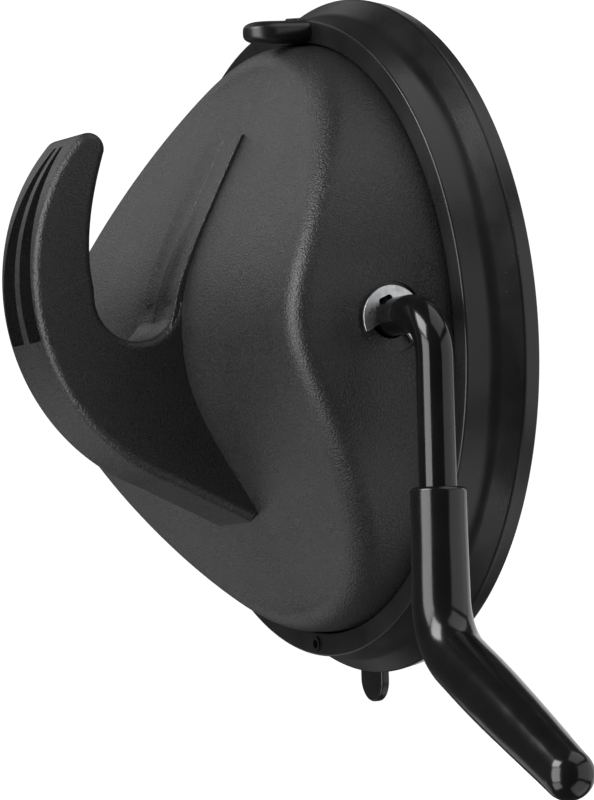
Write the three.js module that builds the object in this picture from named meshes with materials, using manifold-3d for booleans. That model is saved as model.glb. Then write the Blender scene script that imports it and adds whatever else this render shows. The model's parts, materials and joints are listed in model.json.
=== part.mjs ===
// Lever-operated suction mount with an upward hook moulded into its housing.
// Millimetres. The origin is the centre of the cup's sealing face, on the wall plane y = 0.
// +Z is up, -Y points away from the wall, and the lever comes out on the +X side.

import * as THREE from 'three';
import { mergeVertices } from 'three/addons/utils/BufferGeometryUtils.js';
import Module from 'manifold-3d';

const wasm = await Module();
wasm.setup();

// ---------------------------------------------------------------- driving dimensions

const GAP = 0.3;

const CUP_RADIUS = 60;
const CUP_BACK_RADIUS = 59.4;
const CUP_RIM = 3.1;
const CUP_STEP_RADIUS = 56.8;
const CUP_STEP = 7.2;
const CUP_WEB = 4.6;
const CUFF_OUTER = 56.4;
const CUFF_INNER = 52.3;
const CUFF_DEPTH = 12.6;
const CUP_TURN = THREE.MathUtils.degToRad(6.3);
const FINGER_TIP = 23.4;
const FINGER_WIDTH = 9;
const TAB_TIP = 65.5;
const TAB_WIDTH = 8;
const TAB_THICKNESS = 1.6;
const FINGER_EDGE = 1.3;
const COLLAR = { radius: 1.3, hole: 0.8, proud: 0.4, depth: 2 };

const WALL = 2.8;
const BASE_RADIUS = 52;
const BASE_SEAT = CUP_WEB + 0.6;
const RIDGE_WAIST = 50.2;
const RIDGE_END = 51.6;
const TENT_APEX = 42.6;
const TENT_SLOPE = 0.645;
const TENT_ROUNDING = 7;
const TENT_FLOOR = 17.6;
const TENT_FLOOR_BLEND = 4;
const ROOF_CROWN = 1.3;
const RIDGE_FILLET = 4.2;

const HOOK_WIDTH = 15.2;
const HOOK_EDGE = 1.6;
const HOOK_CENTRE = { depth: 31.4, z: 10.3 };
const HOOK_RADIUS = 37;
const HOOK_TIP_ANGLE = THREE.MathUtils.degToRad(45);
const HOOK_TIP_RADIUS = 2.75;
const HOOK_TIP_BACK = Math.PI + 0.25;
const HOOK_WAIST = { depth: 58.4, z: 20 };
const THROAT = { depth: 49.2, z: 8.5, radius: 7.7, end: -2.6 };
const FOOT = { depth: 30.1, z: -31.8 };
const HOOK_ROOT = [[34, 0], [24, -26]];
const FOOT_ANGLE = THREE.MathUtils.degToRad(-67.5);
const SLOT = {
  top: 35.5,
  bottom: 1.6,
  depth: 2.6,
  inner: { top: 0.7, bottom: 1.1 },
  outer: { top: 1.8, middle: 5.9, bottom: 6 },
};
const SPINE_TOP = 36;
const SPINE_PROUD = 0.8;
const SPINE_EMBED = 1.5;

const AXIS_DEPTH = 22.7;
const ROD_DIAMETER = 6.4;
const ARM_X = 64.1;
const ROD_BEND = 8;
const LEVER_SWING = THREE.MathUtils.degToRad(3.6);
const GRIP_DIAMETER = 9.8;
const GRIP_START = 29.4;
const KNEE_DROP = 54.9;
const KNEE_ANGLE = THREE.MathUtils.degToRad(61);
const KNEE_BEND = 12;
const GRIP_TAIL = 49.5;
const ROD_TAIL = 42;
const ROD_FAR_END = 53.5;

const CLIP_X = 50.4;
const CLIP_THICKNESS = 0.7;
const CLIP_OUTER = 11.3;
const CLIP_GROOVE = 5;
const CLIP_MOUTH = THREE.MathUtils.degToRad(52);
const CLIP_TILT = 11;
const CLIP_RELIEF = { angle: THREE.MathUtils.degToRad(35), radius: 3.4, length: 2.7, width: 1.2 };
const CLIP_SEAT_X = 50;
const CLIP_SEAT_DIAMETER = 12;

const BUSH_OUTER = 10;
const BUSH_START = 34;
const BUSH_END = 46;
const BUSH_FLANGE = { thickness: 1.2, overhang: 1.4 };
const BOSS_DIAMETER = 15;
const BOSS_END = 48.8;
const BOSS_RIB = { end: 45.5, depth: 38, half: 1.2 };
const BORE_CLEARANCE = 7.2;

const CAM_RADIUS = 6.6;
const CAM_THROW = 2;
const CAM_WIDTH = 9;
const PIN_DIAMETER = 2.4;
const PIN_LENGTH = 12;

const PLATE_DIAMETER = 38;
const PLATE_THICKNESS = 2;
const STIRRUP_WIDTH = 9;
const STIRRUP_LEG = 2.6;
const STIRRUP_BRIDGE = 2.5;
const STIRRUP_FOOT = { x: 30, z: 16, thickness: 2 };
const STIRRUP_PLAY = 0.8;
const WINDOW_PLAY_Z = 0.4;
const STIRRUP_CORNER = 5;
const STUD_X = 10.5;
const STUD_WASHER = { radius: 4.2, thickness: 0.8 };
const STUD_SCREW = { radius: 2, head: 3.6, crown: 2.6, side: 1, height: 1.6, slotDepth: 0.8 };

const GUIDE = { x: 60, z: 48, thickness: 2, depth: 16.8 };
const GUIDE_OPENING_PLAY = 0.4;
const GUIDE_SCREW = { x: 25, z: 18, radius: 1.5, head: 2.9, crown: 2, side: 1.4, height: 2.2, tip: 26 };
const GUIDE_BOSS = { diameter: 7.4, end: 40, bore: 27 };
// A cutter runs this far past the faces that it goes through.
const PAST = 1;

// ---------------------------------------------------------------- solids

function dropDegenerate(index) {
  const kept = [];
  for (let i = 0; i < index.length; i += 3) {
    const [a, b, c] = [index[i], index[i + 1], index[i + 2]];
    if (a !== b && b !== c && c !== a) {
      kept.push(a, b, c);
    }
  }
  return kept;
}

function signedVolume(position, index) {
  const [a, b, c] = [new THREE.Vector3(), new THREE.Vector3(), new THREE.Vector3()];
  let volume = 0;
  for (let i = 0; i < index.length; i += 3) {
    a.fromBufferAttribute(position, index[i]);
    b.fromBufferAttribute(position, index[i + 1]);
    c.fromBufferAttribute(position, index[i + 2]);
    volume += a.dot(b.cross(c)) / 6;
  }
  return volume;
}

// A closed geometry becomes a manifold solid with its faces pointing out.
function solid(geometry) {
  const bare = geometry.clone();
  bare.deleteAttribute('normal');
  bare.deleteAttribute('uv');
  const merged = mergeVertices(bare, 1e-4);
  const index = dropDegenerate(Array.from(merged.index.array));
  if (signedVolume(merged.attributes.position, index) < 0) {
    index.reverse();
  }
  const mesh = new wasm.Mesh({
    numProp: 3,
    vertProperties: new Float32Array(merged.attributes.position.array),
    triVerts: new Uint32Array(index),
  });
  return new wasm.Manifold(mesh);
}

function geometryOf(body) {
  const mesh = body.getMesh();
  const geometry = new THREE.BufferGeometry();
  geometry.setAttribute('position', new THREE.BufferAttribute(mesh.vertProperties, 3));
  geometry.setIndex(new THREE.BufferAttribute(mesh.triVerts, 1));
  geometry.computeVertexNormals();
  return geometry;
}

function joined(bodies) {
  return bodies.reduce((sum, body) => sum.add(body));
}

function box(x0, x1, depth0, depth1, z0, z1) {
  const geometry = new THREE.BoxGeometry(x1 - x0, depth1 - depth0, z1 - z0);
  geometry.translate((x0 + x1) / 2, -(depth0 + depth1) / 2, (z0 + z1) / 2);
  return solid(geometry);
}

// A cylinder along X, centred on the lever's axis unless another place is given.
function barX(radius, x0, x1, sides = 24, depth = AXIS_DEPTH, z = 0) {
  const geometry = new THREE.CylinderGeometry(radius, radius, x1 - x0, sides);
  geometry.rotateZ(Math.PI / 2);
  geometry.translate((x0 + x1) / 2, -depth, z);
  return solid(geometry);
}

// A cylinder along Y, square to the wall.
function barY(radius, depth0, depth1, x = 0, z = 0, sides = 16) {
  const geometry = new THREE.CylinderGeometry(radius, radius, depth1 - depth0, sides);
  geometry.translate(x, -(depth0 + depth1) / 2, z);
  return solid(geometry);
}

function lathe(profile, sides) {
  const points = profile.map(([radius, depth]) => new THREE.Vector2(radius, -depth));
  return solid(new THREE.LatheGeometry(points, sides));
}

// A side outline in (depth, z), extruded across X about the middle plane.
function sideExtrusion(shape, width, edge, curveSegments) {
  const geometry = new THREE.ExtrudeGeometry(shape, {
    depth: width - 2 * edge,
    bevelEnabled: edge > 0,
    bevelThickness: edge,
    bevelSize: edge,
    bevelOffset: -edge,
    bevelSegments: 2,
    curveSegments,
  });
  geometry.translate(0, 0, -width / 2 + edge);
  const toPart = new THREE.Matrix4().set(0, 0, 1, 0, -1, 0, 0, 0, 0, 1, 0, 0, 0, 0, 0, 1);
  geometry.applyMatrix4(toPart);
  return solid(geometry);
}

// ---------------------------------------------------------------- housing surface

// Depth of the roof's front face: a rounded tent that levels off at its feet, crowned across its width.
function roofDepth(x, z) {
  const slope = Math.hypot(TENT_SLOPE * z, TENT_ROUNDING) - TENT_ROUNDING;
  const tent = TENT_APEX - slope;
  const level = (tent + TENT_FLOOR + Math.hypot(tent - TENT_FLOOR, TENT_FLOOR_BLEND)) / 2;
  return level - ROOF_CROWN * (x / RIDGE_WAIST) ** 2;
}

// Radius of the sharp ridge line round the roof, waisted where the lever's axis passes.
function ridgeRadius(angle) {
  return RIDGE_WAIST + (RIDGE_END - RIDGE_WAIST) * Math.sin(angle) ** 2;
}

// One half-section of the housing, from the middle of the roof to the middle of the base.
function housingSection(angle, inset, seat, frontSteps) {
  const roof = (radius) => roofDepth(radius * Math.cos(angle), radius * Math.sin(angle)) - inset;
  const ridge = ridgeRadius(angle) - inset;
  const base = BASE_RADIUS - inset;
  const corner = new THREE.Vector2(ridge, roof(ridge));
  const foot = new THREE.Vector2(base, CUFF_DEPTH - inset);
  const wall = foot.clone().sub(corner);
  const start = ridge - RIDGE_FILLET;
  const end = corner.clone().addScaledVector(wall, Math.min(RIDGE_FILLET / wall.length(), 0.75));
  const points = [];
  for (let i = 0; i <= frontSteps; i += 1) {
    const radius = (start * i) / frontSteps;
    points.push(new THREE.Vector2(radius, roof(radius)));
  }
  const fillet = new THREE.QuadraticBezierCurve(points.at(-1), corner, end);
  points.push(...fillet.getPoints(4).slice(1));
  points.push(end.clone().lerp(foot, 0.5), foot);
  points.push(new THREE.Vector2(base, seat), new THREE.Vector2(0, seat));
  return points;
}

function housingLoft(inset, seat, sectors = 64, frontSteps = 5) {
  const positions = [];
  const index = [];
  let rows = 0;
  for (let s = 0; s < sectors; s += 1) {
    const angle = (2 * Math.PI * s) / sectors;
    const section = housingSection(angle, inset, seat, frontSteps);
    rows = section.length;
    for (const point of section) {
      positions.push(point.x * Math.cos(angle), -point.y, point.x * Math.sin(angle));
    }
  }
  for (let s = 0; s < sectors; s += 1) {
    for (let row = 0; row < rows - 1; row += 1) {
      const a = s * rows + row;
      const b = ((s + 1) % sectors) * rows + row;
      index.push(a, b, b + 1, a, b + 1, a + 1);
    }
  }
  const geometry = new THREE.BufferGeometry();
  geometry.setAttribute('position', new THREE.Float32BufferAttribute(positions, 3));
  geometry.setIndex(index);
  return solid(geometry);
}

// ---------------------------------------------------------------- hook

function hookShape() {
  const { depth, z } = HOOK_CENTRE;
  const reach = HOOK_RADIUS - HOOK_TIP_RADIUS;
  const tipDepth = depth + reach * Math.cos(HOOK_TIP_ANGLE);
  const tipZ = z + reach * Math.sin(HOOK_TIP_ANGLE);
  const shape = new THREE.Shape();
  shape.moveTo(FOOT.depth, FOOT.z);
  shape.absarc(depth, z, HOOK_RADIUS, FOOT_ANGLE, HOOK_TIP_ANGLE, false);
  shape.absarc(tipDepth, tipZ, HOOK_TIP_RADIUS, HOOK_TIP_ANGLE, HOOK_TIP_BACK, false);
  const throatFront = THROAT.depth + THROAT.radius;
  shape.quadraticCurveTo(HOOK_WAIST.depth, HOOK_WAIST.z, throatFront, THROAT.z + 2);
  shape.absarc(THROAT.depth, THROAT.z, THROAT.radius, 0, THROAT.end, true);
  HOOK_ROOT.forEach((corner) => shape.lineTo(...corner));
  shape.closePath();
  return shape;
}

function spineShape() {
  const shape = new THREE.Shape();
  const steps = 8;
  const bottom = THROAT.z - 4;
  const height = (i) => bottom + ((SPINE_TOP - bottom) * i) / steps;
  shape.moveTo(roofDepth(0, bottom) - SPINE_EMBED, bottom);
  for (let i = 0; i <= steps; i += 1) {
    shape.lineTo(roofDepth(0, height(i)) + SPINE_PROUD, height(i));
  }
  for (let i = steps; i > 0; i -= 1) {
    shape.lineTo(roofDepth(0, height(i)) - SPINE_EMBED, height(i));
  }
  shape.closePath();
  return shape;
}

// A groove in the hook's outer face, widening downwards, between two of its three ribs.
function hookSlot(side) {
  const { top, bottom, inner, outer } = SLOT;
  const front = new THREE.Shape();
  front.moveTo(side * inner.top, top);
  front.lineTo(side * outer.top, top);
  front.quadraticCurveTo(side * outer.middle, (top + bottom) / 2 + 3, side * outer.bottom, bottom);
  front.lineTo(side * inner.bottom, bottom);
  front.closePath();
  const geometry = new THREE.ExtrudeGeometry(front, {
    depth: 40,
    bevelEnabled: false,
    curveSegments: 4,
  });
  geometry.rotateX(Math.PI / 2);
  geometry.translate(0, -40, 0);
  const { depth, z } = HOOK_CENTRE;
  const floor = barX(HOOK_RADIUS - SLOT.depth, -HOOK_WIDTH, HOOK_WIDTH, 64, depth, z);
  return solid(geometry).subtract(floor);
}

// ---------------------------------------------------------------- root body

function housingBody() {
  const outer = housingLoft(0, BASE_SEAT);
  const cavity = housingLoft(WALL, 0, 40, 4);
  const hook = sideExtrusion(hookShape(), HOOK_WIDTH, HOOK_EDGE, 7);
  const spine = sideExtrusion(spineShape(), HOOK_WIDTH - 0.5, 0.3, 4);
  let body = joined([outer, hook, spine]).subtract(cavity);
  for (const side of [-1, 1]) {
    const span = (near, far) => (side > 0 ? [near, far] : [-far, -near]);
    const boss = barX(BOSS_DIAMETER / 2, ...span(BUSH_START, BOSS_END));
    const { end: ribEnd, depth: ribDepth, half } = BOSS_RIB;
    const rib = box(...span(BUSH_START, ribEnd), AXIS_DEPTH, ribDepth, -half, half);
    body = joined([body, boss, rib]);
    body = body.subtract(barX(BUSH_OUTER / 2 + GAP, ...span(BUSH_START - PAST, BUSH_END + GAP)));
    body = body.subtract(barX(BORE_CLEARANCE / 2, ...span(BUSH_START, CUP_RADIUS)));
    body = body.subtract(barX(CLIP_SEAT_DIAMETER / 2, ...span(CLIP_SEAT_X, CUP_RADIUS)));
    for (const end of [-1, 1]) {
      const [x, z] = [side * GUIDE_SCREW.x, end * GUIDE_SCREW.z];
      const seat = GUIDE.depth + GUIDE.thickness + GAP;
      const post = barY(GUIDE_BOSS.diameter / 2, seat, GUIDE_BOSS.end, x, z).intersect(outer);
      const thread = barY(GUIDE_SCREW.radius + GAP, seat - PAST, GUIDE_BOSS.bore, x, z);
      body = body.add(post).subtract(thread);
    }
    body = body.subtract(hookSlot(side));
  }
  return body;
}

function cupFinger() {
  const half = FINGER_WIDTH / 2;
  const thickness = CUFF_OUTER - CUFF_INNER;
  const edge = FINGER_EDGE;
  const shape = new THREE.Shape();
  shape.moveTo(-half, CUFF_DEPTH - 4);
  shape.lineTo(-half, FINGER_TIP - half);
  shape.absarc(0, FINGER_TIP - half, half, Math.PI, 0, true);
  shape.lineTo(half, CUFF_DEPTH - 4);
  shape.closePath();
  const geometry = new THREE.ExtrudeGeometry(shape, {
    depth: thickness - 2 * edge,
    bevelThickness: edge,
    bevelSize: edge,
    bevelOffset: -edge,
    bevelSegments: 2,
    curveSegments: 6,
  });
  geometry.scale(1, -1, 1);
  geometry.translate(0, 0, CUFF_INNER + edge);
  return solid(geometry);
}

function cupTab() {
  const half = TAB_WIDTH / 2;
  const shape = new THREE.Shape();
  shape.moveTo(-half, 1 - CUP_BACK_RADIUS);
  shape.lineTo(-half, half - TAB_TIP);
  shape.absarc(0, half - TAB_TIP, half, Math.PI, 2 * Math.PI, false);
  shape.lineTo(half, 1 - CUP_BACK_RADIUS);
  shape.closePath();
  const geometry = new THREE.ExtrudeGeometry(shape, {
    depth: TAB_THICKNESS,
    bevelEnabled: false,
    curveSegments: 10,
  });
  geometry.rotateX(Math.PI / 2);
  geometry.translate(0, -GAP, 0);
  return solid(geometry);
}

function suctionCupBody() {
  const disc = lathe([
    [0, 0], [CUP_BACK_RADIUS, 0], [CUP_RADIUS, CUP_RIM], [CUP_STEP_RADIUS, CUP_STEP],
    [CUFF_OUTER, CUFF_DEPTH - 0.5], [CUFF_OUTER - 0.4, CUFF_DEPTH], [CUFF_INNER, CUFF_DEPTH],
    [CUFF_INNER, CUP_WEB], [0, CUP_WEB],
  ], 80);
  const middle = -(CUFF_OUTER + CUFF_INNER) / 2;
  const { radius, proud, depth, hole: bore } = COLLAR;
  const collar = barY(radius, CUFF_DEPTH - depth, CUFF_DEPTH + proud, 0, middle, 16);
  const hole = barY(bore, CUFF_DEPTH - depth, CUFF_DEPTH + PAST, 0, middle, 12);
  return joined([disc, cupFinger(), cupTab(), collar]).subtract(hole);
}

function bushBody(side) {
  const bore = ROD_DIAMETER / 2 + GAP;
  const outer = BUSH_OUTER / 2;
  const rim = outer + BUSH_FLANGE.overhang;
  const length = BUSH_END - BUSH_START;
  const face = -BUSH_FLANGE.thickness;
  const sleeve = lathe([
    [bore, face], [rim, face], [rim, -GAP], [outer, -GAP], [outer, length], [bore, length], [bore, face],
  ], 20);
  return sleeve.rotate([0, 0, side > 0 ? 90 : -90]).translate([side * BUSH_START, -AXIS_DEPTH, 0]);
}

function guidePlateBody() {
  const { depth, thickness } = GUIDE;
  let plate = box(-GUIDE.x / 2, GUIDE.x / 2, depth, depth + thickness, -GUIDE.z / 2, GUIDE.z / 2);
  const openX = STIRRUP_WIDTH / 2 + GUIDE_OPENING_PLAY;
  const openZ = stirrupHalfHeight() + GUIDE_OPENING_PLAY;
  const span = [depth - PAST, depth + thickness + PAST];
  plate = plate.subtract(box(-openX, openX, ...span, -openZ, openZ));
  for (const [x, z] of guideScrewPlaces()) {
    plate = plate.subtract(barY(GUIDE_SCREW.radius + GAP, ...span, x, z));
  }
  return plate;
}

function guideScrewPlaces() {
  const { x, z } = GUIDE_SCREW;
  return [[x, z], [-x, z], [x, -z], [-x, -z]];
}

// A round-headed screw with a cross recess, its head towards the wall.
function guideScrewBody(x, z) {
  const { radius, head: rim, crown, side, height, tip } = GUIDE_SCREW;
  const under = GUIDE.depth - GAP;
  const top = under - height;
  const head = lathe([[0, top], [crown, top], [rim, under - side], [rim, under], [0, under]], 16);
  const shank = barY(radius, under - side / 2, tip, 0, 0, 12);
  const [long, narrow] = [crown * 0.85, crown * 0.18];
  const recess = joined([
    box(-long, long, top - PAST, under - side, -narrow, narrow),
    box(-narrow, narrow, top - PAST, under - side, -long, long),
  ]);
  return head.add(shank).subtract(recess).translate([x, 0, z]);
}

// ---------------------------------------------------------------- lift body

function camWindow() {
  const camDepth = AXIS_DEPTH - CAM_THROW;
  return {
    near: camDepth - CAM_RADIUS - STIRRUP_PLAY,
    far: camDepth + CAM_RADIUS + STIRRUP_PLAY,
    half: CAM_RADIUS + CAM_THROW + WINDOW_PLAY_Z,
  };
}

function stirrupHalfHeight() {
  return camWindow().half + STIRRUP_LEG;
}

function cupPlateBody() {
  const near = CUP_WEB + GAP;
  const radius = PLATE_DIAMETER / 2;
  let plate = lathe([
    [0, near], [radius - GAP, near], [radius, near + GAP], [radius, near + PLATE_THICKNESS],
    [0, near + PLATE_THICKNESS],
  ], 32);
  for (const x of [-STUD_X, STUD_X]) {
    plate = plate.subtract(barY(STUD_SCREW.radius + GAP, near - PAST, near + PLATE_THICKNESS + PAST, x));
  }
  return plate;
}

function stirrupBody() {
  const foot = CUP_WEB + PLATE_THICKNESS + 2 * GAP;
  const window = camWindow();
  const height = stirrupHalfHeight();
  const top = window.far + STIRRUP_BRIDGE;
  const outline = new THREE.Shape();
  outline.moveTo(foot, -height);
  outline.lineTo(top - STIRRUP_CORNER, -height);
  outline.quadraticCurveTo(top, -height, top, STIRRUP_CORNER - height);
  outline.lineTo(top, height - STIRRUP_CORNER);
  outline.quadraticCurveTo(top, height, top - STIRRUP_CORNER, height);
  outline.lineTo(foot, height);
  outline.closePath();
  const hole = new THREE.Path();
  hole.moveTo(window.near, -window.half);
  hole.lineTo(window.near, window.half);
  hole.lineTo(window.far, window.half);
  hole.lineTo(window.far, -window.half);
  hole.closePath();
  outline.holes.push(hole);
  const { x, z, thickness } = STIRRUP_FOOT;
  let body = sideExtrusion(outline, STIRRUP_WIDTH, 0, 6);
  body = body.add(box(-x / 2, x / 2, foot, foot + thickness, -z / 2, z / 2));
  for (const place of [-STUD_X, STUD_X]) {
    body = body.subtract(barY(STUD_SCREW.radius + GAP, foot - PAST, foot + thickness + PAST, place));
  }
  return body;
}

function stirrupTop() {
  return CUP_WEB + PLATE_THICKNESS + STIRRUP_FOOT.thickness + 2 * GAP;
}

function studWasherBody(x) {
  const bore = STUD_SCREW.radius + GAP;
  const { radius, thickness } = STUD_WASHER;
  const near = stirrupTop() + GAP;
  const far = near + thickness;
  const ring = lathe([[bore, near], [radius, near], [radius, far], [bore, far], [bore, near]], 16);
  return ring.translate([x, 0, 0]);
}

// A slotted screw with its head away from the wall.
function studScrewBody(x) {
  const { radius, head: rim, crown, side, height, slotDepth } = STUD_SCREW;
  const under = stirrupTop() + STUD_WASHER.thickness + 2 * GAP;
  const top = under + height;
  const head = lathe([[0, under], [rim, under], [rim, under + side], [crown, top], [0, top]], 16);
  const shank = barY(radius, CUP_WEB + 2 * GAP, under + side / 2, 0, 0, 12);
  const slot = box(-rim - PAST, rim + PAST, top - slotDepth, top + PAST, -crown / 5, crown / 5);
  return head.add(shank).subtract(slot).translate([x, 0, 0]);
}

// ---------------------------------------------------------------- lever body

// Points of a bent line: its two ends, and each bend as an arc of even steps.
function bentLine(corners, bends, arcSteps) {
  const knots = [corners[0].clone()];
  for (let i = 1; i < corners.length - 1; i += 1) {
    const back = corners[i - 1].clone().sub(corners[i]).normalize();
    const ahead = corners[i + 1].clone().sub(corners[i]).normalize();
    const half = back.angleTo(ahead) / 2;
    const middle = back.clone().add(ahead).normalize();
    const centre = corners[i].clone().addScaledVector(middle, bends[i - 1] / Math.sin(half));
    const reach = bends[i - 1] / Math.tan(half);
    const from = corners[i].clone().addScaledVector(back, reach).sub(centre);
    const to = corners[i].clone().addScaledVector(ahead, reach).sub(centre);
    const axis = from.clone().cross(to).normalize();
    const sweep = from.angleTo(to);
    for (let k = 0; k <= arcSteps; k += 1) {
      const turned = from.clone().applyAxisAngle(axis, (sweep * k) / arcSteps);
      knots.push(turned.add(centre));
    }
  }
  knots.push(corners.at(-1).clone());
  return knots;
}

// A curve whose even steps fall on the knots, so that each extrusion ring stands on one.
class KnotLine extends THREE.Curve {
  constructor(knots) {
    super();
    this.knots = knots;
  }

  getPoint(t, target = new THREE.Vector3()) {
    const last = this.knots.length - 1;
    const place = Math.min(Math.max(t, 0), 1) * last;
    const near = Math.min(Math.floor(place), last - 1);
    return target.copy(this.knots[near]).lerp(this.knots[near + 1], place - near);
  }

  getPointAt(u, target) {
    return this.getPoint(u, target);
  }

  getTangentAt(u) {
    const last = this.knots.length - 1;
    const step = 0.5 / last;
    return this.getPoint(u + step).sub(this.getPoint(u - step)).normalize();
  }
}

function tube(knots, radius, sides) {
  const section = new THREE.Shape();
  section.absarc(0, 0, radius, 0, 2 * Math.PI, false);
  return solid(new THREE.ExtrudeGeometry(section, {
    steps: knots.length - 1,
    curveSegments: sides / 2,
    extrudePath: new KnotLine(knots),
  }));
}

function kneePoint() {
  return new THREE.Vector3(ARM_X, 0, -KNEE_DROP);
}

function alongGrip(length) {
  const direction = new THREE.Vector3(Math.sin(KNEE_ANGLE), 0, -Math.cos(KNEE_ANGLE));
  return kneePoint().addScaledVector(direction, length);
}

function clipGroove(side) {
  const ring = barX(ROD_DIAMETER, CLIP_X - GAP, CLIP_X + CLIP_THICKNESS + GAP, 12, 0);
  const core = barX(CLIP_GROOVE / 2, CLIP_X - 1, CLIP_X + 2, 16, 0);
  const cutter = ring.subtract(core);
  return side > 0 ? cutter : cutter.rotate([0, 0, 180]);
}

function leverRodBody() {
  const points = [
    new THREE.Vector3(-ROD_FAR_END, 0, 0),
    new THREE.Vector3(ARM_X, 0, 0),
    kneePoint(),
    alongGrip(ROD_TAIL),
  ];
  const rod = tube(bentLine(points, [ROD_BEND, KNEE_BEND], 6), ROD_DIAMETER / 2, 20);
  return rod.subtract(joined([clipGroove(1), clipGroove(-1), camPinBody(GAP)]));
}

function leverGripBody() {
  const start = new THREE.Vector3(ARM_X, 0, -GRIP_START);
  const end = GRIP_DIAMETER / 2;
  const outside = bentLine([start, kneePoint(), alongGrip(GRIP_TAIL - end)], [KNEE_BEND], 6);
  const bore = bentLine(
    [start.clone().setZ(1 - GRIP_START), kneePoint(), alongGrip(ROD_TAIL + 1)], [KNEE_BEND], 6,
  );
  const nose = new THREE.SphereGeometry(end, 16, 10);
  nose.translate(...outside.at(-1).toArray());
  return tube(outside, end, 20).add(solid(nose)).subtract(tube(bore, ROD_DIAMETER / 2 + GAP, 16));
}

// A retaining ring that opens along the lever's arm, with two round-ended reliefs in its bore.
function clipBody(side) {
  const shape = new THREE.Shape();
  const bore = CLIP_GROOVE / 2 + GAP;
  const down = -Math.PI / 2;
  const [from, to] = [down + CLIP_MOUTH, down + 2 * Math.PI - CLIP_MOUTH];
  shape.absarc(0, 0, CLIP_OUTER / 2, from, to, false);
  shape.absarc(0, 0, bore, to, from, true);
  shape.closePath();
  const geometry = new THREE.ExtrudeGeometry(shape, {
    depth: CLIP_THICKNESS,
    bevelEnabled: false,
    curveSegments: 12,
  });
  const reliefs = [-1, 1].map((end) => clipRelief(end * CLIP_RELIEF.angle));
  const ring = solid(geometry).subtract(joined(reliefs)).rotate([0, 0, -CLIP_TILT]);
  const placed = ring.rotate([90, 0, 0]).rotate([0, 0, 90]);
  const x = side > 0 ? CLIP_X : -CLIP_X - CLIP_THICKNESS;
  return placed.translate([x, 0, 0]);
}

// A pocket along the ring at an angle from straight up, open into the bore.
function clipRelief(angle) {
  const { radius, length, width } = CLIP_RELIEF;
  const shape = new THREE.Shape();
  const reach = (length - width) / 2;
  shape.absarc(-reach, radius, width / 2, Math.PI / 2, (3 * Math.PI) / 2, false);
  shape.lineTo(-reach, 0);
  shape.lineTo(reach, 0);
  shape.absarc(reach, radius, width / 2, -Math.PI / 2, Math.PI / 2, false);
  shape.closePath();
  const geometry = new THREE.ExtrudeGeometry(shape, { depth: 4, bevelEnabled: false, curveSegments: 4 });
  geometry.translate(0, 0, -2);
  return solid(geometry).rotate([0, 0, THREE.MathUtils.radToDeg(-angle)]);
}

function camBody() {
  const lobe = barX(CAM_RADIUS, -CAM_WIDTH / 2, CAM_WIDTH / 2, 24, -CAM_THROW);
  const bore = barX(ROD_DIAMETER / 2 + GAP, -CAM_WIDTH, CAM_WIDTH, 16, 0);
  return lobe.subtract(bore).subtract(camPinBody(GAP));
}

function camPinBody(extra = 0) {
  const geometry = new THREE.CylinderGeometry(
    PIN_DIAMETER / 2 + extra, PIN_DIAMETER / 2 + extra, PIN_LENGTH + 4 * extra, 16,
  );
  geometry.rotateX(Math.PI / 2);
  return solid(geometry);
}

// ---------------------------------------------------------------- materials

function material(color, roughness, metalness) {
  return new THREE.MeshStandardMaterial({ color, roughness, metalness });
}

const sparkedPlastic = () => material(0x1c1c1d, 0.55, 0);
const rubber = () => material(0x161617, 0.7, 0);
const blackGlossSteel = () => material(0x0b0b0c, 0.18, 0.2);
const vinyl = () => material(0x0e0e0f, 0.3, 0);
const zincSteel = () => material(0xb9bcc0, 0.3, 1);
const acetal = () => material(0xe6e2d8, 0.5, 0);
const nylon = () => material(0x202022, 0.6, 0);

// ---------------------------------------------------------------- assembly

function addPiece(group, name, body, finish) {
  const mesh = new THREE.Mesh(geometryOf(body), finish);
  mesh.name = name;
  group.add(mesh);
}

const mount = new THREE.Group();

addPiece(mount, 'housing', housingBody(), sparkedPlastic());
addPiece(mount, 'guide_plate', guidePlateBody(), zincSteel());
guideScrewPlaces().forEach(([x, z], i) => {
  addPiece(mount, `guide_screw_${i + 1}`, guideScrewBody(x, z), zincSteel());
});
addPiece(mount, 'rod_bush_right', bushBody(1), nylon());
addPiece(mount, 'rod_bush_left', bushBody(-1), nylon());

const cup = new THREE.Group();
cup.rotation.y = CUP_TURN;
addPiece(cup, 'suction_cup', suctionCupBody(), rubber());
mount.add(cup);

addPiece(mount, 'cup_plate', cupPlateBody(), zincSteel());
addPiece(mount, 'stirrup', stirrupBody(), zincSteel());
[-STUD_X, STUD_X].forEach((x, i) => {
  addPiece(mount, `plate_washer_${i + 1}`, studWasherBody(x), zincSteel());
  addPiece(mount, `plate_screw_${i + 1}`, studScrewBody(x), zincSteel());
});

const lever = new THREE.Group();
lever.position.y = -AXIS_DEPTH;
lever.rotation.x = -LEVER_SWING;
addPiece(lever, 'lever_rod', leverRodBody(), blackGlossSteel());
addPiece(lever, 'lever_grip', leverGripBody(), vinyl());
addPiece(lever, 'retaining_clip_right', clipBody(1), zincSteel());
addPiece(lever, 'retaining_clip_left', clipBody(-1), zincSteel());
addPiece(lever, 'cam', camBody(), acetal());
addPiece(lever, 'cam_pin', camPinBody(), zincSteel());
mount.add(lever);

export default mount;
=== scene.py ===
# Looks for a lever suction hook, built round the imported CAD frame.
# Points are written as (x, depth, z) in millimetres, with depth measured away from the wall, and add_object
# turns them into the scene's metres. The origin is the centre of the cup's sealing face and +Z is up.

import json
import math

import bmesh
import bpy
import numpy as np
from mathutils import Matrix, Vector


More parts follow.
